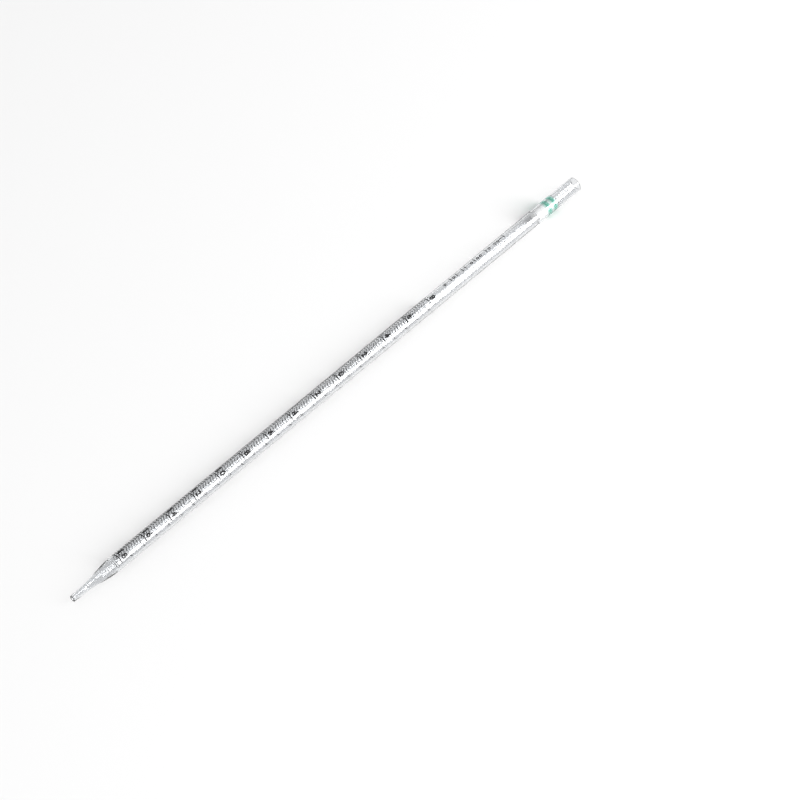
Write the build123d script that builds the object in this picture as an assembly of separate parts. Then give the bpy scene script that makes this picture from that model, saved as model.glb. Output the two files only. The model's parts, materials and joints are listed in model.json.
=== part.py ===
from build123d import *

import math
import os

# A 2 mL serological (graduated) pipette in clear polystyrene, lying along X on the plane z = 0.
# The tip points to -X and the mouthpiece to +X. Lengths are millimetres. Places along the
# pipette are distances from its tip end, which along() turns into the part's own X. Places
# round the pipette are angles from straight up, growing towards +Y, which the names call roll.

# Whole pipette
TOTAL_LENGTH = 275.0
OUTER_RADIUS = 3.05
WELD_BEAD = 0.10
AXIS_HEIGHT = OUTER_RADIUS + WELD_BEAD

# Scale: the bore makes one numbered step hold this volume, so bore and scale fit each other
STEP_VOLUME = 200.0
STEP_LENGTH = 12.807
BORE_RADIUS = math.sqrt(STEP_VOLUME / (math.pi * STEP_LENGTH))
MINOR_PER_STEP = 10
FIRST_MARK = 22.86
FIRST_LABEL = 18
LABEL_DROP = 2
STEP_COUNT = 13

# Moulded tip
TIP_LENGTH = 20.5
TIP_END_RADIUS = 1.24
ORIFICE_RADIUS = 0.60
ORIFICE_LENGTH = 1.2
OUTER_NECK = (6.0, 1.44)
OUTER_SWELL = (13.0, 2.19)
INNER_NECK = (5.6, 1.00)
INNER_SWELL = (11.2, 1.74)
INNER_SHOULDER = (16.6, BORE_RADIUS)
TIP_EDGE_ROUND = 0.12

# Butt welds between the mouldings and the tube
WELD_HALF_WIDTH = 0.75

# Moulded mouthpiece and its fibre plug
MOUTHPIECE_START = 250.8
PLUG_LENGTH = 11.4
PLUG_RADIUS = 2.30
MOUTH_RADIUS = 2.50
RIM_ROUND = 0.14
PLUG_EDGE_ROUND = 0.5

# Two colour-code rings over the plug
BAND_CENTRES = {"colour_band_lower": 257.5, "colour_band_upper": 260.7}
BAND_WIDTH = 1.8

# Print
INK = 0.04
MARK_WIDTH = 0.40
FACE_ROLL = -30.0
PRINT_TWIST = 23.0
MINOR_ARC = (40.0, 168.0)
MINOR_ARC_BESIDE_LABEL = (62.0, 168.0)
HALF_ARC = (40.0, 235.0)
MAJOR_ARC = (-27.0, 240.0)
NUMERAL_HEIGHT = 2.7
NUMERAL_WIDTH = 1.7
ONE_WIDTH = 1.05
NUMERAL_STROKE = 0.48
NUMERAL_LIFT = 0.9
ONES_ROLL = 48.0
POINT_ROLL = 29.0
TENTHS_ROLL = 2.0
LEGEND_SIGNS = "o |o| || o|oo |o oo-|"
LEGEND_START = 198.9
LEGEND_LENGTH = 35.5
LEGEND_ROLL = 45.0
LEGEND_HEIGHT = 1.85
LEGEND_STROKE = 0.36
SIGN_SHARE = 0.78
RING_SHARE = 0.68
SHELL_REACH = 1.2


def along(distance):
    """X of a place at this distance from the tip end."""
    return distance - TOTAL_LENGTH / 2


def axis_point(distance):
    return Vector(along(distance), 0, AXIS_HEIGHT)


def turned(profile):
    """Solid of revolution of a closed profile drawn as (distance from the tip end, radius)."""
    face = Plane.XZ * make_face(profile)
    return Pos(along(0), 0, AXIS_HEIGHT) * revolve(face, Axis.X)


def weld_arc(seam, side):
    """Quarter swell of a weld, from the outer wall to the seam's own ridge."""
    foot = (seam + side * WELD_HALF_WIDTH, OUTER_RADIUS)
    ridge = (seam, OUTER_RADIUS + WELD_BEAD)
    return foot, ridge


def make_tip():
    """Slender cone that swells to the tube's size, with a fine orifice."""
    rim_corner = (TIP_EDGE_ROUND, TIP_END_RADIUS)
    foot, ridge = weld_arc(TIP_LENGTH, -1)
    cone = Line(rim_corner, OUTER_NECK)
    hollow = TangentArc(OUTER_NECK, OUTER_SWELL, tangent=cone % 1)
    crown = TangentArc(OUTER_SWELL, foot, tangent=hollow % 1)
    bead = Line(foot, ridge)
    seam_face = Line(ridge, (TIP_LENGTH, BORE_RADIUS))
    throat = Line((TIP_LENGTH, BORE_RADIUS), INNER_SHOULDER)
    funnel = TangentArc(INNER_SHOULDER, INNER_SWELL, tangent=throat % 1)
    waist = Line(INNER_SWELL, INNER_NECK)
    taper = Line(INNER_NECK, (ORIFICE_LENGTH, ORIFICE_RADIUS))
    orifice = Line((ORIFICE_LENGTH, ORIFICE_RADIUS), (0, ORIFICE_RADIUS))
    end_face = Line((0, ORIFICE_RADIUS), (0, TIP_END_RADIUS - TIP_EDGE_ROUND))
    edge = Line((0, TIP_END_RADIUS - TIP_EDGE_ROUND), rim_corner)
    outline = [cone, hollow, crown, bead, seam_face, throat, funnel, waist, taper, orifice]
    return turned(outline + [end_face, edge])


def make_barrel():
    """Plain extruded tube between the two welds."""
    tip_foot, tip_ridge = weld_arc(TIP_LENGTH, 1)
    mouth_foot, mouth_ridge = weld_arc(MOUTHPIECE_START, -1)
    bottom = (TIP_LENGTH, BORE_RADIUS)
    top = (MOUTHPIECE_START, BORE_RADIUS)
    return turned(Polyline(bottom, tip_ridge, tip_foot, mouth_foot, mouth_ridge, top, close=True))


def make_mouthpiece():
    """Moulded suction end: a pocket for the plug, then a slightly wider open mouth."""
    foot, ridge = weld_arc(MOUTHPIECE_START, 1)
    pocket_end = MOUTHPIECE_START + PLUG_LENGTH
    points = [
        (MOUTHPIECE_START, PLUG_RADIUS),
        ridge,
        foot,
        (TOTAL_LENGTH - RIM_ROUND, OUTER_RADIUS),
        (TOTAL_LENGTH, OUTER_RADIUS - RIM_ROUND),
        (TOTAL_LENGTH, MOUTH_RADIUS),
        (pocket_end, MOUTH_RADIUS),
        (pocket_end, PLUG_RADIUS),
    ]
    return turned(Polyline(*points, close=True))


def make_filter_plug():
    """Round plug of white fibre, packed against the tube's end."""
    plug = Cylinder(PLUG_RADIUS, PLUG_LENGTH)
    plug = fillet(plug.edges().filter_by(GeomType.CIRCLE), PLUG_EDGE_ROUND)
    return Pos(axis_point(MOUTHPIECE_START + PLUG_LENGTH / 2)) * Rot(Y=90) * plug


def ink_ring(centre, width, low_roll, high_roll):
    """Band of ink round the tube from low_roll to high_roll."""
    section = Plane.XZ * Pos(0, OUTER_RADIUS + INK / 2) * Rectangle(width, INK)
    band = revolve(section, Axis.X, revolution_arc=high_roll - low_roll)
    return Pos(axis_point(centre)) * Rot(X=-high_roll) * band


def twist_at(distance):
    """Roll of the print at this distance: it is rolled on with a slow helical creep."""
    return FACE_ROLL + PRINT_TWIST * (distance - FIRST_MARK) / (STEP_COUNT * STEP_LENGTH)


def mark_positions(share):
    """Distances of the marks that lie this share of a numbered step after each numbered mark."""
    return [FIRST_MARK + (step + share) * STEP_LENGTH for step in range(STEP_COUNT)]


def make_marks(positions, arc):
    marks = []
    for distance in positions:
        roll = twist_at(distance)
        marks.append(ink_ring(distance, MARK_WIDTH, roll + arc[0], roll + arc[1]))
    return marks


def label_tenths(step):
    """Number at this numbered mark, in tenths: it falls to 0, then rises again up the reserve."""
    return abs(FIRST_LABEL - LABEL_DROP * step)


def bar(stroke, *points):
    """Straight strokes through the points of a glyph."""
    return trace(Polyline(*points), stroke)


def bow(stroke, centre, radii, start, end):
    """Part of an elliptical stroke, counter-clockwise from start to end degrees."""
    return trace(EllipticalCenterArc(centre, *radii, start, arc_size=end - start), stroke)


def oval(stroke, centre, radii):
    outer = Ellipse(radii[0] + stroke / 2, radii[1] + stroke / 2)
    inner = Ellipse(radii[0] - stroke / 2, radii[1] - stroke / 2)
    return Pos(*centre) * (outer - inner)


def figure_glyph(char, width, height, stroke):
    """Flat shape of one figure or point, its lower left corner at the origin."""
    left, right = stroke / 2, width - stroke / 2
    low, high = stroke / 2, height - stroke / 2
    middle = width / 2
    half_x = (right - left) / 2
    waist = height * 0.54
    bowl_y = (waist - low) / 2
    top_y = (high - waist) / 2
    if char == "0":
        return oval(stroke, (middle, height / 2), (half_x, (high - low) / 2))
    if char == "1":
        stem = bar(stroke, (right, 0), (right, height))
        return stem + bar(stroke, (right, high), (left, high - half_x * 1.4))
    if char == "2":
        hook = bow(stroke, (middle, high - half_x), (half_x, half_x), -20, 180)
        return hook + bar(stroke, (right, high - half_x * 1.3), (left, low), (width, low))
    if char == "4":
        stem = bar(stroke, (right - stroke, 0), (right - stroke, height))
        return stem + bar(stroke, (right - stroke, high), (left, waist * 0.6), (width, waist * 0.6))
    if char == "5":
        bowl = bow(stroke, (middle, low + bowl_y), (half_x, bowl_y), -150, 130)
        return bowl + bar(stroke, (width, high), (left, high), (left, waist * 0.85))
    if char == "6":
        bowl = oval(stroke, (middle, low + bowl_y), (half_x, bowl_y))
        return bowl + bow(stroke, (right, low + bowl_y), (2 * half_x, high - low - bowl_y), 95, 180)
    if char == "8":
        upper = oval(stroke, (middle, waist + top_y), (half_x * 0.9, top_y))
        return upper + oval(stroke, (middle, low + bowl_y), (half_x, bowl_y))
    return Pos(middle, low) * Circle(stroke * 0.65)


def sign_glyph(char, width, height, stroke):
    """Flat shape of one wordless sign: a tall bar, a level dash or a low ring."""
    middle = width / 2
    if char == "|":
        return bar(stroke, (middle, 0), (middle, height))
    if char == "-":
        return bar(stroke, (0, height / 2), (width, height / 2))
    ring_middle = height * RING_SHARE / 2
    return oval(stroke, (middle, ring_middle), ((width - stroke) / 2, ring_middle - stroke / 2))


def print_plane(distance, roll, reading):
    """Plane touching the axis whose normal leaves it at this roll; reading is the text's way."""
    normal = Vector(0, math.sin(math.radians(roll)), math.cos(math.radians(roll)))
    return Plane(origin=axis_point(distance), x_dir=reading, z_dir=normal)


def pressed_on(plane, flat):
    """Ink with this flat outline, laid on the outside of the tube."""
    block = plane * extrude(Pos(0, 0, OUTER_RADIUS - SHELL_REACH) * flat, 2 * SHELL_REACH)
    return list((block & make_shell()).solids())


def make_shell():
    """The layer just outside the tube that all ink lies in."""
    length = TOTAL_LENGTH - TIP_LENGTH
    tube = Cylinder(OUTER_RADIUS + INK, length) - Cylinder(OUTER_RADIUS, length)
    return Pos(axis_point(TIP_LENGTH + length / 2)) * Rot(Y=90) * tube


def across(roll):
    """Direction that text round the tube reads in, at this roll."""
    return Vector(0, -math.cos(math.radians(roll)), math.sin(math.radians(roll)))


def upright_glyph(char, width, distance, roll):
    """One character of a label, its head towards the mouthpiece."""
    flat = figure_glyph(char, width, NUMERAL_HEIGHT, NUMERAL_STROKE)
    return pressed_on(print_plane(distance, roll, across(roll)), Pos(-width / 2, 0) * flat)


def make_label(step):
    """Number beside one numbered mark."""
    tenths = label_tenths(step)
    mark = FIRST_MARK + step * STEP_LENGTH
    distance = mark + NUMERAL_LIFT
    roll = twist_at(mark)
    solids = upright_glyph(str(tenths % 10), NUMERAL_WIDTH, distance, roll + TENTHS_ROLL)
    if tenths:
        solids += upright_glyph(".", NUMERAL_WIDTH, distance, roll + POINT_ROLL)
    if tenths >= 10:
        solids += upright_glyph(str(tenths // 10), ONE_WIDTH, distance, roll + ONES_ROLL)
    return solids


def make_legend():
    """Line of wordless signs, from the tip towards the mouthpiece, in place of a printed text."""
    pitch = LEGEND_LENGTH / len(LEGEND_SIGNS)
    roll = FACE_ROLL + LEGEND_ROLL
    solids = []
    for place, char in enumerate(LEGEND_SIGNS):
        if char == " ":
            continue
        flat = sign_glyph(char, pitch * SIGN_SHARE, LEGEND_HEIGHT, LEGEND_STROKE)
        plane = print_plane(LEGEND_START + place * pitch, roll, Vector(1, 0, 0))
        solids += pressed_on(plane, Pos(0, -LEGEND_HEIGHT / 2) * flat)
    return solids


def fine_marks():
    """Marks of a tenth of a numbered step; those beside a two-figure label start past it."""
    beside, free = [], []
    label_top = NUMERAL_LIFT + NUMERAL_HEIGHT
    for minor in range(1, MINOR_PER_STEP):
        if minor == MINOR_PER_STEP // 2:
            continue
        for step, distance in enumerate(mark_positions(minor / MINOR_PER_STEP)):
            low_edge = minor * STEP_LENGTH / MINOR_PER_STEP - MARK_WIDTH / 2
            shortened = low_edge < label_top and label_tenths(step) >= MINOR_PER_STEP
            (beside if shortened else free).append(distance)
    return make_marks(beside, MINOR_ARC_BESIDE_LABEL) + make_marks(free, MINOR_ARC)


def graduation_groups():
    """Fine, half and numbered marks, each group printed as separate strokes of ink."""
    numbered = mark_positions(0) + [FIRST_MARK + STEP_COUNT * STEP_LENGTH]
    return {
        "minor_graduations": fine_marks(),
        "half_graduations": make_marks(mark_positions(0.5), HALF_ARC),
        "major_graduations": make_marks(numbered, MAJOR_ARC),
    }


def number_groups():
    """Labels of the main scale down to the tip, and of the reserve scale above zero."""
    zero_step = FIRST_LABEL // LABEL_DROP
    main = []
    for step in range(zero_step + 1):
        main += make_label(step)
    reserve = []
    for step in range(zero_step + 1, STEP_COUNT + 1):
        reserve += make_label(step)
    return {"scale_numerals": main, "reserve_numerals": reserve}


def as_part(shape):
    """A group of separate solids as one compound."""
    return Compound(children=shape) if isinstance(shape, list) else shape


def main():
    nodes = {
        "tip": make_tip(),
        "barrel": make_barrel(),
        "mouthpiece": make_mouthpiece(),
        "filter_plug": make_filter_plug(),
        "legend": make_legend(),
    }
    for name, centre in BAND_CENTRES.items():
        nodes[name] = ink_ring(centre, BAND_WIDTH, 0, 360)
    nodes.update(graduation_groups())
    nodes.update(number_groups())
    os.makedirs("parts", exist_ok=True)
    for name, shape in nodes.items():
        export_step(as_part(shape), os.path.join("parts", name + ".step"))


main()
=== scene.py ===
import json
import math
import random

import bmesh
import bpy
from mathutils import Matrix, Vector


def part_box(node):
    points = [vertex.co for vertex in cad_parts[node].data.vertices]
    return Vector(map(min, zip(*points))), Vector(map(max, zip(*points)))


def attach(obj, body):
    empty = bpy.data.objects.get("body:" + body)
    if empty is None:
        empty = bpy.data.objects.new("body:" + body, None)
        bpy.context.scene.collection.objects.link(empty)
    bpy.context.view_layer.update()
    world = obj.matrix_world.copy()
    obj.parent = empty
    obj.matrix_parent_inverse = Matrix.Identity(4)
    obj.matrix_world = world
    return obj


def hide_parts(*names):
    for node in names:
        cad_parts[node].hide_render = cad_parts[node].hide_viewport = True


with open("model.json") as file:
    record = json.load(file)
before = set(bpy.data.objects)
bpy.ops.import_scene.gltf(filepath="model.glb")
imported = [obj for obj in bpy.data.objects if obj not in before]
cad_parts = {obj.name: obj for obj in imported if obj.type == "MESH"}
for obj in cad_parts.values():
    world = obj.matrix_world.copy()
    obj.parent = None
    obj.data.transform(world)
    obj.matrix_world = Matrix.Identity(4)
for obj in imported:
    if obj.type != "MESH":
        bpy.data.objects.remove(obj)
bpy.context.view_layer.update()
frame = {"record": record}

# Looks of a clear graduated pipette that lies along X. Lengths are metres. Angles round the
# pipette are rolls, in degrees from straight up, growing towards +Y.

MM = 0.001

# Places that the frame gives
TIP_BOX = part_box("tip")
BARREL_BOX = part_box("barrel")
MOUTH_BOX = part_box("mouthpiece")
PLUG_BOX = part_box("filter_plug")
MAJOR_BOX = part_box("major_graduations")
MOUNTS = {mount["name"]: mount for mount in frame["record"]["mounts"]}
AXIS_HEIGHT = (BARREL_BOX[0].z + BARREL_BOX[1].z) / 2
RIDGE_RADIUS = (BARREL_BOX[1].z - BARREL_BOX[0].z) / 2
OUTER_RADIUS = MOUNTS["barrel_grip"]["dims"]["r_mm"] * MM
MOUTH_RADIUS = MOUNTS["mouth_bore"]["dims"]["r_mm"] * MM
ORIFICE_RADIUS = MOUNTS["tip_orifice"]["dims"]["r_mm"] * MM
PLUG_RADIUS = (PLUG_BOX[1].z - PLUG_BOX[0].z) / 2
TIP_END = TIP_BOX[0].x
TIP_SEAM = TIP_BOX[1].x
MOUTH_SEAM = MOUTH_BOX[0].x
MOUTH_END = MOUTH_BOX[1].x

# Scale
MARK_WIDTH = 0.40 * MM
STEP_COUNT = 13
FIRST_MARK = MAJOR_BOX[0].x + MARK_WIDTH / 2
STEP_LENGTH = (MAJOR_BOX[1].x - MAJOR_BOX[0].x - MARK_WIDTH) / STEP_COUNT
STEP_VOLUME = 200e-9
BORE_RADIUS = math.sqrt(STEP_VOLUME / (math.pi * STEP_LENGTH))
MINOR_PER_STEP = 10
FIRST_LABEL = 18
LABEL_DROP = 2

# Print
FACE_ROLL = -30.0
PRINT_TWIST = 23.0
MINOR_ARC = (40.0, 168.0)
MINOR_ARC_BESIDE_LABEL = (62.0, 168.0)
HALF_ARC = (40.0, 235.0)
MAJOR_ARC = (-27.0, 240.0)
NUMERAL_HEIGHT = 2.7 * MM
NUMERAL_WIDTH = 1.7 * MM
ONE_WIDTH = 1.05 * MM
NUMERAL_LIFT = 0.9 * MM
ONES_ROLL = 48.0
POINT_ROLL = 29.0
TENTHS_ROLL = 2.0
LEGEND_SIGNS = "o |o| || o|oo |o oo-|"
LEGEND_ROLL = 45.0
LEGEND_START = TIP_END + 198.9 * MM
LEGEND_LENGTH = 35.5 * MM
LEGEND_HEIGHT = 1.85 * MM
LEGEND_STROKE = 0.36 * MM
SIGN_SHARE = 0.78
RING_SHARE = 0.68
INK_OUT = 0.028 * MM
INK_IN = 0.008 * MM
INK_STEP = 2.5
POINT_SIZE = 0.55 * MM
FIGURE_BOLD = 0.042

# Plastic walls
RING_SIDES = 160
SEAM_GAP = 0.008 * MM
WELD_HALF_WIDTH = 0.75 * MM
ARC_STEPS = 14
TIP_EDGE_ROUND = 0.12 * MM
TIP_END_RADIUS = 1.24 * MM
OUTER_NECK = (6.0 * MM, 1.44 * MM)
OUTER_SWELL = (13.0 * MM, 2.19 * MM)
INNER_NECK = (5.6 * MM, 1.00 * MM)
INNER_SWELL = (11.2 * MM, 1.74 * MM)
INNER_SHOULDER = (16.6 * MM, BORE_RADIUS)
ORIFICE_LENGTH = MOUNTS["tip_orifice"]["dims"]["length_mm"] * MM
ORIFICE_ROUND = 0.05 * MM
RIM_ROUND = 0.14 * MM
MOUTH_ROUND = 0.1 * MM
POCKET_STEP = 0.2 * MM
POCKET_GAP = 0.02 * MM
PLUG_END_GAP = 0.05 * MM
PLUG_SIDE_GAP = 0.03 * MM
STRANDS = 420
STRAND_RADIUS = 0.016 * MM
WALL_SHADE = (0.95, 0.95, 0.95)


# ---------------------------------------------------------------- materials

class Nodes:
    """Short way to build a node tree."""

    def __init__(self, name):
        self.material = bpy.data.materials.new(name)
        self.material.use_nodes = True
        self.tree = self.material.node_tree
        self.tree.nodes.clear()

    def add(self, kind, values=(), **settings):
        node = self.tree.nodes.new(kind)
        for key, value in settings.items():
            setattr(node, key, value)
        for key, value in dict(values).items():
            node.inputs[key].default_value = value
        return node

    def link(self, source, target):
        self.tree.links.new(source, target)

    def object_coordinates(self, scale):
        """Object coordinates stretched by a different amount along each axis."""
        place = self.add("ShaderNodeTexCoord")
        mapping = self.add("ShaderNodeMapping")
        mapping.inputs["Scale"].default_value = scale
        self.link(place.outputs["Object"], mapping.inputs["Vector"])
        return mapping.outputs["Vector"]

    def noise(self, vector, scale, detail=3.0, roughness=0.55):
        noise = self.add("ShaderNodeTexNoise", {"Scale": scale, "Detail": detail, "Roughness": roughness})
        self.link(vector, noise.inputs["Vector"])
        return noise.outputs["Fac"]

    def spread(self, source, low, high, from_low=0.3, from_high=0.7):
        """Maps a noise's middle range to low..high."""
        limits = {"From Min": from_low, "From Max": from_high, "To Min": low, "To Max": high}
        node = self.add("ShaderNodeMapRange", limits)
        self.link(source, node.inputs["Value"])
        return node.outputs["Result"]

    def blend(self, factor, first, second):
        mix = self.add("ShaderNodeMix", data_type="RGBA")
        mix.inputs["A"].default_value = (*first, 1)
        mix.inputs["B"].default_value = (*second, 1)
        self.link(factor, mix.inputs["Factor"])
        return mix.outputs["Result"]

    def bump(self, height, strength, distance):
        node = self.add("ShaderNodeBump", {"Strength": strength, "Distance": distance})
        self.link(height, node.inputs["Height"])
        return node.outputs["Normal"]

    def lamp_light_through(self, shader, shade):
        """Lets lamp light and scattered light straight through the wall, dimmed a little."""
        path = self.add("ShaderNodeLightPath")
        either = self.add("ShaderNodeMath", operation="MAXIMUM")
        self.link(path.outputs["Is Shadow Ray"], either.inputs[0])
        self.link(path.outputs["Is Diffuse Ray"], either.inputs[1])
        straight = self.add("ShaderNodeBsdfTransparent", {"Color": (*shade, 1)})
        mix = self.add("ShaderNodeMixShader")
        self.link(either.outputs["Value"], mix.inputs[0])
        self.link(shader, mix.inputs[1])
        self.link(straight.outputs["BSDF"], mix.inputs[2])
        return mix.outputs["Shader"]

    def finish(self, shader):
        output = self.add("ShaderNodeOutputMaterial")
        self.link(shader, output.inputs["Surface"])
        return self.material


def clear_plastic(name, grain, tint):
    """Clear polystyrene, its grey tint painted shade that darkens the view through the walls in place of the
    shadow under the tube. grain stretches the faint flow lines of the moulding or extrusion.
    """
    nodes = Nodes(name)
    shader = nodes.add("ShaderNodeBsdfPrincipled", {"IOR": 1.59, "Transmission Weight": 1.0})
    lines = nodes.noise(nodes.object_coordinates(grain), 1.0, 2.0)
    dust = nodes.noise(nodes.object_coordinates((1, 1, 1)), 900.0, 4.0)
    nodes.link(nodes.spread(dust, 0.0, 0.006), shader.inputs["Roughness"])
    # Both greys are painted shade that darkens what is seen through the walls in place of the shadow under
    # the tube; the flow lines vary them at random.
    nodes.link(nodes.blend(nodes.spread(lines, 0, 1), tint, (0.86, 0.87, 0.88)), shader.inputs["Base Color"])
    return nodes.finish(nodes.lamp_light_through(shader.outputs["BSDF"], WALL_SHADE))


def printed_ink(name, dark, light, roughness):
    """Screen-printed ink: slightly uneven in depth of colour and in gloss."""
    nodes = Nodes(name)
    shader = nodes.add("ShaderNodeBsdfPrincipled", {"IOR": 1.5})
    grain = nodes.noise(nodes.object_coordinates((1, 1, 1)), 5200.0, 3.0)
    patches = nodes.noise(nodes.object_coordinates((1, 1, 1)), 700.0, 2.0)
    nodes.link(nodes.blend(nodes.spread(patches, 0, 1), dark, light), shader.inputs["Base Color"])
    nodes.link(nodes.spread(grain, roughness - 0.06, roughness + 0.1), shader.inputs["Roughness"])
    nodes.link(nodes.bump(grain, 0.05, 0.004 * MM), shader.inputs["Normal"])
    return nodes.finish(shader.outputs["BSDF"])


def translucent_ink(name, tint, pale):
    """Thin coloured ink that light passes through: the tint is what one crossing leaves."""
    nodes = Nodes(name)
    shader = nodes.add("ShaderNodeBsdfPrincipled", {"IOR": 1.5, "Transmission Weight": 1.0})
    patches = nodes.noise(nodes.object_coordinates((1, 1, 1)), 900.0, 3.0)
    nodes.link(nodes.blend(nodes.spread(patches, 0, 1), tint, pale), shader.inputs["Base Color"])
    grain = nodes.noise(nodes.object_coordinates((1, 1, 1)), 5200.0, 3.0)
    nodes.link(nodes.spread(grain, 0.02, 0.08), shader.inputs["Roughness"])
    return nodes.finish(nodes.lamp_light_through(shader.outputs["BSDF"], tint))


def fibre_material():
    """Bleached non-woven fibre."""
    nodes = Nodes("white_fibre")
    shader = nodes.add("ShaderNodeBsdfPrincipled", {"Sheen Weight": 0.35, "Sheen Roughness": 0.5})
    tufts = nodes.noise(nodes.object_coordinates((1, 1, 1)), 1500.0, 6.0, 0.7)
    strands = nodes.noise(nodes.object_coordinates((600, 2600, 2600)), 1.0, 4.0)
    white = nodes.blend(nodes.spread(tufts, 0, 1), (0.90, 0.90, 0.89), (0.97, 0.97, 0.97))
    nodes.link(white, shader.inputs["Base Color"])
    nodes.link(nodes.spread(strands, 0.75, 0.95), shader.inputs["Roughness"])
    nodes.link(nodes.bump(strands, 0.6, 0.08 * MM), shader.inputs["Normal"])
    return nodes.finish(shader.outputs["BSDF"])


def floor_material():
    nodes = Nodes("pale_floor")
    shader = nodes.add("ShaderNodeBsdfPrincipled", {"Roughness": 0.8})
    cloud = nodes.noise(nodes.object_coordinates((1, 1, 1)), 3.0, 2.0)
    nodes.link(nodes.blend(cloud, (0.855, 0.855, 0.855), (0.865, 0.865, 0.865)), shader.inputs["Base Color"])
    return nodes.finish(shader.outputs["BSDF"])


# ---------------------------------------------------------------- mesh helpers

def on_axis(x, radius, roll):
    """Point at this radius from the pipette's axis."""
    angle = math.radians(roll)
    return Vector((x, radius * math.sin(angle), AXIS_HEIGHT + radius * math.cos(angle)))


def new_object(name, mesh, material, nodes):
    piece = bpy.data.objects.new(name, mesh)
    bpy.context.scene.collection.objects.link(piece)
    mesh.materials.append(material)
    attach(piece, "root")
    if nodes:
        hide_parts(*nodes)
    return piece


def smooth(mesh, sharp_degrees):
    mesh.polygons.foreach_set("use_smooth", [True] * len(mesh.polygons))
    mesh.set_sharp_from_angle(angle=math.radians(sharp_degrees))


def tangent_arc(start, end, heading, steps=ARC_STEPS):
    """Points after start on the arc to end that leaves start at this heading, and its last heading."""
    chord = math.atan2(end[1] - start[1], end[0] - start[0])
    half_turn = (chord - heading + math.pi) % (2 * math.pi) - math.pi
    length = math.hypot(end[0] - start[0], end[1] - start[1])
    points = []
    for step in range(1, steps + 1):
        share = step / steps
        reach = length * math.sin(half_turn * share) / math.sin(half_turn)
        angle = heading + half_turn * share
        points.append((start[0] + reach * math.cos(angle), start[1] + reach * math.sin(angle)))
    return points, heading + 2 * half_turn


def round_corner(before, corner, after, size, steps=5):
    """Points of a corner rounded off by size along both of its sides."""
    start = [corner[i] + (before[i] - corner[i]) * size / math.dist(before, corner) for i in (0, 1)]
    end = [corner[i] + (after[i] - corner[i]) * size / math.dist(after, corner) for i in (0, 1)]
    points = []
    for step in range(steps + 1):
        t = step / steps
        weights = ((1 - t) ** 2, 2 * t * (1 - t), t ** 2)
        points.append(tuple(sum(w * p[i] for w, p in zip(weights, (start, corner, end))) for i in (0, 1)))
    return points


def weld_swell(seam, side, steps=6):
    """Outer points from the plain wall to the weld's ridge at the seam."""
    points = []
    for step in range(steps + 1):
        share = step / steps
        lift = (1 - math.cos(math.pi * share)) / 2
        x = seam + side * WELD_HALF_WIDTH * (1 - share)
        points.append((x, OUTER_RADIUS + (RIDGE_RADIUS - OUTER_RADIUS) * lift))
    return points


def lathe(name, outline):
    """Closed mesh of revolution about the pipette's axis from a closed outline of (x, radius)."""
    mesh = bpy.data.meshes.new(name)
    vertices = []
    for x, radius in outline:
        for side in range(RING_SIDES):
            vertices.append(on_axis(x, radius, 360 * side / RING_SIDES))
    faces = []
    for ring in range(len(outline)):
        following = (ring + 1) % len(outline)
        for side in range(RING_SIDES):
            beside = (side + 1) % RING_SIDES
            faces.append((ring * RING_SIDES + side, ring * RING_SIDES + beside,
                          following * RING_SIDES + beside, following * RING_SIDES + side))
    mesh.from_pydata(vertices, [], faces)
    bm = bmesh.new()
    bm.from_mesh(mesh)
    bmesh.ops.recalc_face_normals(bm, faces=bm.faces)
    bm.to_mesh(mesh)
    bm.free()
    smooth(mesh, 35)
    return mesh


# ---------------------------------------------------------------- plastic

def tip_outline():
    """Ogee tip, worked out from its tip end as in the CAD part."""
    def at(point):
        return (TIP_END + point[0], point[1])
    seam = TIP_SEAM - SEAM_GAP
    rim = (TIP_END, TIP_END_RADIUS)
    neck, swell = at(OUTER_NECK), at(OUTER_SWELL)
    heading = math.atan2(neck[1] - rim[1], neck[0] - rim[0])
    outer = round_corner((TIP_END, ORIFICE_RADIUS), rim, neck, TIP_EDGE_ROUND)
    outer.append(neck)
    hollow, heading = tangent_arc(neck, swell, heading)
    crown, heading = tangent_arc(swell, (seam - WELD_HALF_WIDTH, OUTER_RADIUS), heading)
    outer += hollow + crown + weld_swell(seam, -1)[1:]
    inner = [(seam, BORE_RADIUS)]
    shoulder, waist = at(INNER_SHOULDER), at(INNER_SWELL)
    inner.append(shoulder)
    funnel, heading = tangent_arc(shoulder, waist, math.pi)
    taper, heading = tangent_arc(waist, at(INNER_NECK), heading)
    throat, heading = tangent_arc(at(INNER_NECK), at((ORIFICE_LENGTH, ORIFICE_RADIUS)), heading, 6)
    inner += funnel + taper + throat
    inner += round_corner(at((ORIFICE_LENGTH, ORIFICE_RADIUS)), (TIP_END, ORIFICE_RADIUS), rim, ORIFICE_ROUND)
    return outer + inner


def barrel_outline():
    low, high = TIP_SEAM + SEAM_GAP, MOUTH_SEAM - SEAM_GAP
    outer = weld_swell(low, 1)[::-1] + weld_swell(high, -1)
    return outer + [(high, BORE_RADIUS), (low, BORE_RADIUS)]


def mouthpiece_outline():
    seam = MOUTH_SEAM + SEAM_GAP
    pocket_end = PLUG_BOX[1].x
    pocket_radius = PLUG_RADIUS + POCKET_GAP
    outer_corner, inner_corner = (MOUTH_END, OUTER_RADIUS), (MOUTH_END, MOUTH_RADIUS)
    outline = weld_swell(seam, 1)[::-1]
    outline += round_corner((seam, OUTER_RADIUS), outer_corner, inner_corner, RIM_ROUND)
    outline += round_corner(outer_corner, inner_corner, (pocket_end, MOUTH_RADIUS), MOUTH_ROUND)
    outline += [(pocket_end + POCKET_STEP, MOUTH_RADIUS), (pocket_end, pocket_radius), (seam, pocket_radius)]
    return outline


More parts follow.
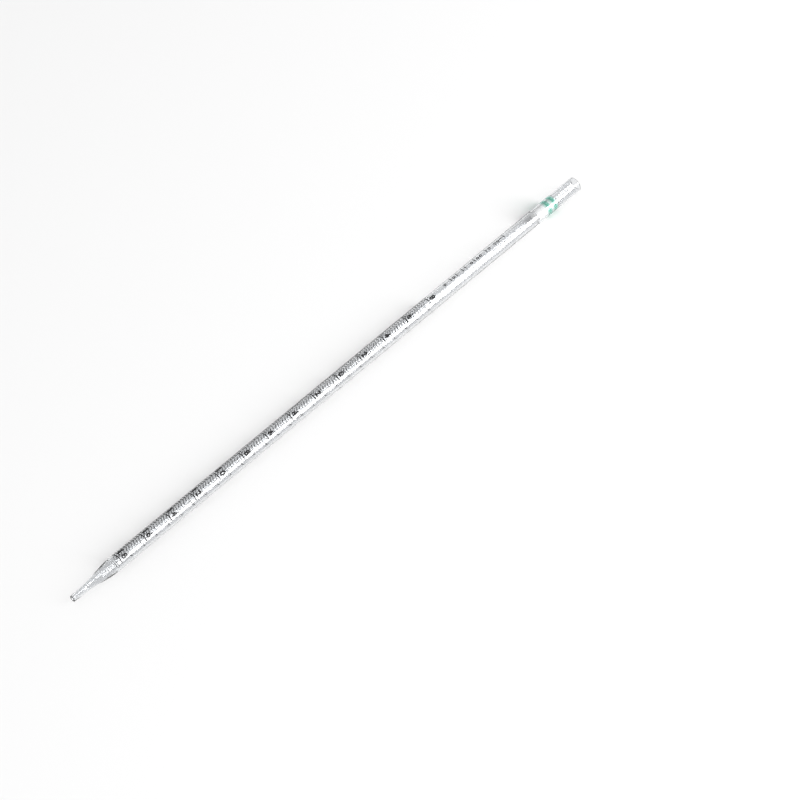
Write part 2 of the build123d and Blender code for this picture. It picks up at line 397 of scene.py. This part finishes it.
def build_plastic():
    # The grey tints given here are painted shade for the view through the walls, not the plastic's own
    # colour.
    extruded = clear_plastic("clear_polystyrene_tube", (12, 900, 900), (0.80, 0.81, 0.825))
    moulded = clear_plastic("clear_polystyrene_moulding", (120, 500, 500), (0.80, 0.81, 0.825))
    for name, outline, material in (
        ("tip", tip_outline(), moulded),
        ("barrel", barrel_outline(), extruded),
        ("mouthpiece", mouthpiece_outline(), moulded),
    ):
        new_object("clear_" + name, lathe(name, outline), material, [name])


# ---------------------------------------------------------------- print

def twist_at(x):
    return FACE_ROLL + PRINT_TWIST * (x - FIRST_MARK) / (STEP_COUNT * STEP_LENGTH)


def add_strip(bm, x, low_roll, high_roll, width):
    """Thin closed strip of ink round the tube with rounded ends."""
    count = max(8, math.ceil((high_roll - low_roll) / INK_STEP))
    cap = width / 2 / OUTER_RADIUS
    rolls = [low_roll + (high_roll - low_roll) * step / count for step in range(count + 1)]
    ends = [0.0, 0.12, 0.35, 0.65, 1.0]
    low_cap = [low_roll + math.degrees(cap) * share for share in ends]
    high_cap = [high_roll - math.degrees(cap) * share for share in reversed(ends)]
    rolls = low_cap + [r for r in rolls if low_cap[-1] < r < high_cap[0]] + high_cap
    rings = []
    for roll in rolls:
        edge = min(roll - low_roll, high_roll - roll) / math.degrees(cap)
        half = width / 2 * math.sqrt(max(0.05, 1 - max(0.0, 1 - edge) ** 2))
        corners = ((-half, -INK_IN), (half, -INK_IN), (half, INK_OUT), (-half, INK_OUT))
        rings.append([bm.verts.new(on_axis(x + dx, OUTER_RADIUS + dr, roll)) for dx, dr in corners])
    for ring, following in zip(rings, rings[1:]):
        for side in range(4):
            beside = (side + 1) % 4
            bm.faces.new((ring[side], ring[beside], following[beside], following[side]))
    bm.faces.new(rings[0])
    bm.faces.new(rings[-1][::-1])


def mark_positions(share):
    return [FIRST_MARK + (step + share) * STEP_LENGTH for step in range(STEP_COUNT)]


def label_tenths(step):
    return abs(FIRST_LABEL - LABEL_DROP * step)


def minor_marks():
    marks = []
    for minor in range(1, MINOR_PER_STEP):
        if minor == MINOR_PER_STEP // 2:
            continue
        for step, x in enumerate(mark_positions(minor / MINOR_PER_STEP)):
            low_edge = minor * STEP_LENGTH / MINOR_PER_STEP - MARK_WIDTH / 2
            beside = low_edge < NUMERAL_LIFT + NUMERAL_HEIGHT and label_tenths(step) >= MINOR_PER_STEP
            marks.append((x, MINOR_ARC_BESIDE_LABEL if beside else MINOR_ARC))
    return marks


def ink_mesh(name, bm):
    mesh = bpy.data.meshes.new(name)
    bmesh.ops.recalc_face_normals(bm, faces=bm.faces)
    bm.to_mesh(mesh)
    bm.free()
    smooth(mesh, 35)
    return mesh


def build_marks(name, marks, ink):
    bm = bmesh.new()
    for x, arc in marks:
        add_strip(bm, x, twist_at(x) + arc[0], twist_at(x) + arc[1], MARK_WIDTH)
    new_object("ink_" + name, ink_mesh(name, bm), ink, [name])


def flat_figure(char, bold):
    """Flat mesh of one figure or point, one unit high, as a bmesh."""
    curve = bpy.data.curves.new("text", "FONT")
    curve.body = char
    curve.size = 1.0
    curve.offset = bold
    curve.resolution_u = 6
    holder = bpy.data.objects.new("text", curve)
    bpy.context.scene.collection.objects.link(holder)
    bpy.context.view_layer.update()
    flat = bpy.data.meshes.new_from_object(holder)
    bm = bmesh.new()
    bm.from_mesh(flat)
    bpy.data.objects.remove(holder)
    bpy.data.curves.remove(curve)
    bpy.data.meshes.remove(flat)
    bmesh.ops.remove_doubles(bm, verts=bm.verts, dist=1e-5)
    return bm


def fit(bm, width, height):
    """Scales flat text to this size, its lower left corner at the origin."""
    for axis, size in ((0, width), (1, height)):
        places = [v.co[axis] for v in bm.verts]
        low, high = min(places), max(places)
        for v in bm.verts:
            v.co[axis] = (v.co[axis] - low) * size / (high - low)


def slice_up(bm, axis, low, high, pitch):
    """Cuts the flat mesh across one axis, so that it can bend round the tube."""
    normal = Vector((1, 0, 0)) if axis == 0 else Vector((0, 1, 0))
    place = low + pitch
    while place < high:
        geometry = bm.verts[:] + bm.edges[:] + bm.faces[:]
        bmesh.ops.bisect_plane(bm, geom=geometry, plane_co=normal * place, plane_no=normal)
        place += pitch


def wrap(bm, target, place):
    """Gives flat text the ink's thickness on the tube. place turns flat x, y into (x, roll)."""
    bmesh.ops.triangulate(bm, faces=bm.faces)
    raised = bmesh.ops.extrude_face_region(bm, geom=bm.faces[:], use_keep_orig=True)
    top = {v for v in raised["geom"] if isinstance(v, bmesh.types.BMVert)}
    for v in bm.verts:
        x, roll = place(v.co.x, v.co.y)
        v.co = on_axis(x, OUTER_RADIUS + (INK_OUT if v in top else -INK_IN), roll)
    made = bpy.data.meshes.new("wrapped")
    bm.to_mesh(made)
    bm.free()
    target.from_mesh(made)
    bpy.data.meshes.remove(made)


def add_figure(target, char, x, roll, width, height):
    """One upright character, its head towards the mouthpiece, centred on this roll."""
    bm = flat_figure(char, FIGURE_BOLD)
    fit(bm, width, height)
    pitch = math.radians(INK_STEP * 2) * OUTER_RADIUS
    slice_up(bm, 0, 0, width, pitch)
    wrap(bm, target, lambda u, v: (x + v, roll - math.degrees((u - width / 2) / OUTER_RADIUS)))


def add_label(target, step):
    tenths = label_tenths(step)
    mark = FIRST_MARK + step * STEP_LENGTH
    x, roll = mark + NUMERAL_LIFT, twist_at(mark)
    add_figure(target, str(tenths % 10), x, roll + TENTHS_ROLL, NUMERAL_WIDTH, NUMERAL_HEIGHT)
    if tenths:
        add_figure(target, ".", x, roll + POINT_ROLL, POINT_SIZE, POINT_SIZE)
    if tenths >= 10:
        add_figure(target, "1", x, roll + ONES_ROLL, ONE_WIDTH, NUMERAL_HEIGHT)


def build_numerals(name, steps, ink):
    bm = bmesh.new()
    for step in steps:
        add_label(bm, step)
    new_object("ink_" + name, ink_mesh(name, bm), ink, [name])


def flat_bar(bm, low, high):
    """Flat upright rectangle between two opposite corners."""
    corners = ((low[0], low[1]), (high[0], low[1]), (high[0], high[1]), (low[0], high[1]))
    bm.faces.new([bm.verts.new((x, y, 0)) for x, y in corners])


def flat_ring(bm, centre, radii, stroke, sides=28):
    """Flat elliptical ring, its stroke centred on these radii."""
    loops = []
    for grow in (-stroke / 2, stroke / 2):
        loop = []
        for side in range(sides):
            angle = 2 * math.pi * side / sides
            x = centre[0] + (radii[0] + grow) * math.cos(angle)
            y = centre[1] + (radii[1] + grow) * math.sin(angle)
            loop.append(bm.verts.new((x, y, 0)))
        loops.append(loop)
    inner, outer = loops
    for side in range(sides):
        beside = (side + 1) % sides
        bm.faces.new((inner[side], outer[side], outer[beside], inner[beside]))


def add_sign(bm, char, x, width):
    """One wordless sign of the legend, on the flat: a tall bar, a level dash or a low ring."""
    middle, half = x + width / 2, LEGEND_STROKE / 2
    if char == "|":
        flat_bar(bm, (middle - half, 0), (middle + half, LEGEND_HEIGHT))
    elif char == "-":
        flat_bar(bm, (x, LEGEND_HEIGHT / 2 - half), (x + width, LEGEND_HEIGHT / 2 + half))
    elif char == "o":
        ring_middle = LEGEND_HEIGHT * RING_SHARE / 2
        flat_ring(bm, (middle, ring_middle), (width / 2 - half, ring_middle - half), LEGEND_STROKE)


def build_legend(ink):
    pitch = LEGEND_LENGTH / len(LEGEND_SIGNS)
    bm = bmesh.new()
    for place, char in enumerate(LEGEND_SIGNS):
        add_sign(bm, char, place * pitch, pitch * SIGN_SHARE)
    slice_up(bm, 1, 0, LEGEND_HEIGHT, math.radians(INK_STEP * 2) * OUTER_RADIUS)
    low_roll = FACE_ROLL + LEGEND_ROLL - math.degrees(LEGEND_HEIGHT / 2 / OUTER_RADIUS)
    target = bmesh.new()
    wrap(bm, target, lambda u, v: (LEGEND_START + u, low_roll + math.degrees(v / OUTER_RADIUS)))
    new_object("ink_legend", ink_mesh("legend", target), ink, ["legend"])


def build_print():
    ink = printed_ink("black_ink", (0.006, 0.006, 0.007), (0.02, 0.02, 0.022), 0.3)
    numbered = mark_positions(0) + [FIRST_MARK + STEP_COUNT * STEP_LENGTH]
    build_marks("minor_graduations", minor_marks(), ink)
    build_marks("half_graduations", [(x, HALF_ARC) for x in mark_positions(0.5)], ink)
    build_marks("major_graduations", [(x, MAJOR_ARC) for x in numbered], ink)
    zero_step = FIRST_LABEL // LABEL_DROP
    build_numerals("scale_numerals", range(zero_step + 1), ink)
    build_numerals("reserve_numerals", range(zero_step + 1, STEP_COUNT + 1), ink)
    build_legend(ink)


def build_bands():
    ink = translucent_ink("green_ink", (0.48, 0.78, 0.70), (0.55, 0.83, 0.76))
    for name in ("colour_band_lower", "colour_band_upper"):
        low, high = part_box(name)
        inside, outside = OUTER_RADIUS - INK_IN, OUTER_RADIUS + INK_OUT
        edge = 0.01 * MM
        outline = [(low.x, inside), (low.x, outside - edge), (low.x + edge, outside),
                   (high.x - edge, outside), (high.x, outside - edge), (high.x, inside)]
        new_object("ink_" + name, lathe(name, outline), ink, [name])


# ---------------------------------------------------------------- filter plug

def build_plug():
    """Packed fibre: a lumpy core with fine strands over its side and its two ends."""
    white = fibre_material()
    chance = random.Random(7)
    low, high = PLUG_BOX[0].x + PLUG_END_GAP, PLUG_BOX[1].x - PLUG_END_GAP
    radius = PLUG_RADIUS - PLUG_SIDE_GAP
    rings, sides = 44, 72
    bm = bmesh.new()
    grid = []
    for ring in range(rings + 1):
        share = ring / rings
        x = low + (high - low) * share
        edge = min(share, 1 - share) * rings / 3
        shrink = 1 - 0.22 * max(0.0, 1 - edge) ** 2
        row = []
        for side in range(sides):
            dent = chance.random() * 0.03
            row.append(bm.verts.new(on_axis(x, radius * (shrink - dent), 360 * side / sides)))
        grid.append(row)
    for row, following in zip(grid, grid[1:]):
        for side in range(sides):
            beside = (side + 1) % sides
            bm.faces.new((row[side], row[beside], following[beside], following[side]))
    bm.faces.new(grid[0][::-1])
    bm.faces.new(grid[-1])
    ends = [f for f in bm.faces if len(f.verts) > 4]
    bmesh.ops.poke(bm, faces=ends, offset=0.25 * MM)
    mesh = bpy.data.meshes.new("plug_core")
    bmesh.ops.recalc_face_normals(bm, faces=bm.faces)
    bm.to_mesh(mesh)
    bm.free()
    smooth(mesh, 60)
    new_object("plug_core", mesh, white, ["filter_plug"])
    build_strands(white, chance, low, high, radius)


def build_strands(white, chance, low, high, radius):
    curve = bpy.data.curves.new("plug_strands", "CURVE")
    curve.dimensions = "3D"
    curve.bevel_depth = STRAND_RADIUS
    curve.bevel_resolution = 1
    for strand in range(STRANDS):
        spline = curve.splines.new("NURBS")
        spline.points.add(5)
        on_end = strand % 3 == 0
        roll = chance.uniform(0, 360)
        turn = chance.uniform(-80, 80)
        if on_end:
            x = chance.choice((low + 0.25 * MM, high - 0.25 * MM))
            reach, sweep = 0.0, turn * 2
            out, out_change = radius * chance.uniform(0.1, 0.9), radius * chance.uniform(-0.5, 0.5)
        else:
            x = chance.uniform(low + 0.6 * MM, high - 0.6 * MM)
            reach, sweep = chance.uniform(-2.4, 2.4) * MM, turn
            out, out_change = radius * 0.985, 0.0
        for index, point in enumerate(spline.points):
            share = index / 5
            wobble = chance.uniform(-0.1, 0.1) * MM
            away = min(radius * 0.99, max(0.1 * MM, out + out_change * share))
            place = min(high, max(low, x + reach * share + wobble))
            point.co = (*on_axis(place, away, roll + sweep * share), 1)
        spline.order_u = 3
        spline.use_endpoint_u = True
    new_object("plug_strands", curve, white, [])


# ---------------------------------------------------------------- stage

VIEW_AZIMUTH = -47.3
VIEW_ELEVATION = 50.7
LENS = 171.0
CAMERA_DISTANCE = 1.4298
CAMERA_SIDE = 0.0245
CAMERA_RISE = -0.0067
FLOOR_REACH = 8.0
# Lights: each is size across and along the tube in metres, distance, and radiance
LIGHT_TURN = math.radians(26)
MOUTH_GLARE = math.radians(34.5)
SOFTBOX = ((1.55, 0.95), 2.0, 9.4)
MOUTH_SOFTBOX = ((0.9, 0.35), 1.95, 3.0)
TIP_FILL = ((2.0, 2.0), 2.5, 1.45)
TIP_FILL_DIRECTION = (-0.7, 0.1, 1)
STUDIO_GREY = 0.45


def view_axes():
    azimuth, elevation = math.radians(VIEW_AZIMUTH), math.radians(VIEW_ELEVATION)
    right = Vector((math.cos(azimuth), math.sin(azimuth), 0))
    back = Vector((math.sin(azimuth) * math.cos(elevation),
                   -math.cos(azimuth) * math.cos(elevation), math.sin(elevation)))
    return right, back.cross(right), back


def build_camera():
    right, up, back = view_axes()
    centre = Vector(((TIP_END + MOUTH_END) / 2, 0, AXIS_HEIGHT))
    camera = bpy.data.objects.new("camera", bpy.data.cameras.new("camera"))
    camera.data.lens = LENS
    camera.data.clip_start = 0.05
    camera.data.clip_end = 50
    turn = Matrix((right, up, back)).transposed().to_4x4()
    place = centre + back * CAMERA_DISTANCE + right * CAMERA_SIDE + up * CAMERA_RISE
    camera.matrix_world = Matrix.Translation(place) @ turn
    bpy.context.scene.collection.objects.link(camera)
    bpy.context.scene.camera = camera


def build_floor():
    reach = FLOOR_REACH
    mesh = bpy.data.meshes.new("floor")
    corners = [(-reach, -reach, 0), (reach, -reach, 0), (reach, reach, 0), (-reach, reach, 0)]
    mesh.from_pydata(corners, [], [(0, 1, 2, 3)])
    mesh.materials.append(floor_material())
    floor = bpy.data.objects.new("floor", mesh)
    bpy.context.scene.collection.objects.link(floor)


def add_panel(name, direction, long_way, panel):
    """Rectangular studio light in this direction, its first side along long_way."""
    size, distance, radiance = panel
    light = bpy.data.lights.new(name, "AREA")
    light.shape = "RECTANGLE"
    light.size, light.size_y = size
    light.energy = radiance * math.pi * size[0] * size[1]
    lamp = bpy.data.objects.new(name, light)
    back = direction.normalized()
    side = (long_way - back * long_way.dot(back)).normalized()
    turn = Matrix((side, back.cross(side), back)).transposed().to_4x4()
    lamp.matrix_world = Matrix.Translation(back * distance) @ turn
    lamp.visible_camera = False
    bpy.context.scene.collection.objects.link(lamp)


def build_lights():
    """A softbox whose reflection runs along the tube, a narrow one for the mouth, and a fill."""
    back = view_axes()[2]
    facing = Vector((0, back.y, back.z)).normalized()
    facing.rotate(Matrix.Rotation(LIGHT_TURN, 3, "X"))
    mirrored = facing * math.sqrt(1 - back.x ** 2) - Vector((back.x, 0, 0))
    mouth_side = facing * math.cos(MOUTH_GLARE) + Vector((math.sin(MOUTH_GLARE), 0, 0))
    across = Vector((1, 0, 0)).cross(facing)
    add_panel("softbox", mirrored, across, SOFTBOX)
    add_panel("mouth_softbox", mouth_side, across, MOUTH_SOFTBOX)
    add_panel("tip_fill", Vector(TIP_FILL_DIRECTION), across, TIP_FILL)
    world = bpy.data.worlds.new("studio")
    bpy.context.scene.world = world
    world.use_nodes = True
    background = world.node_tree.nodes["Background"]
    background.inputs["Color"].default_value = (STUDIO_GREY, STUDIO_GREY, STUDIO_GREY, 1)
    background.inputs["Strength"].default_value = 1.0


build_plastic()
build_print()
build_bands()
build_plug()
build_floor()
build_camera()
build_lights()
bpy.context.scene.view_settings.view_transform = "Standard"
bpy.context.scene.view_settings.look = "None"
